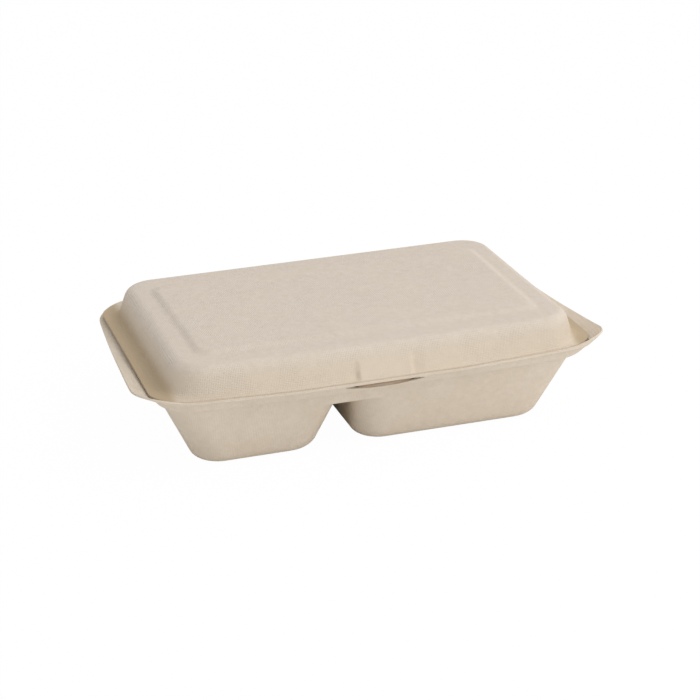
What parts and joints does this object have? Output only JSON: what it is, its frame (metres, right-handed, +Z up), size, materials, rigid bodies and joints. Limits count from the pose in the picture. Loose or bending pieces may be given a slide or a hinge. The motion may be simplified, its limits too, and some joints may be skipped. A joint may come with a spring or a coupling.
{
  "type": "hinged food box",
  "caption": "Shallow hinged food box of moulded plant fibre with two flared wells, upturned end lips and a domed lid held shut by a tongue in a slit.",
  "frame": {"origin": "middle of the closed box's footprint on the surface it stands on", "axes": "+X along the box towards the larger well's end, +Y back to the fold, +Z up"},
  "size_m": [0.2474, 0.164, 0.0622],
  "materials": {
    "fibre_base": "matte, unbleached moulded fibre with a fine mesh imprint",
    "fibre_lid": "matte, unbleached moulded fibre with a fine mesh imprint"
  },
  "bodies": {
    "base_half": {"base": "fibre_base"},
    "lid_half": {"lid": "fibre_lid"}
  },
  "joints": [
    {"name": "fold_hinge", "type": "hinge", "parent": "base_half", "child": "lid_half", "pos_m": [0, 0.08215, 0.04315], "axis": [-1, 0, 0], "range_deg": [0, 180]}
  ]
}
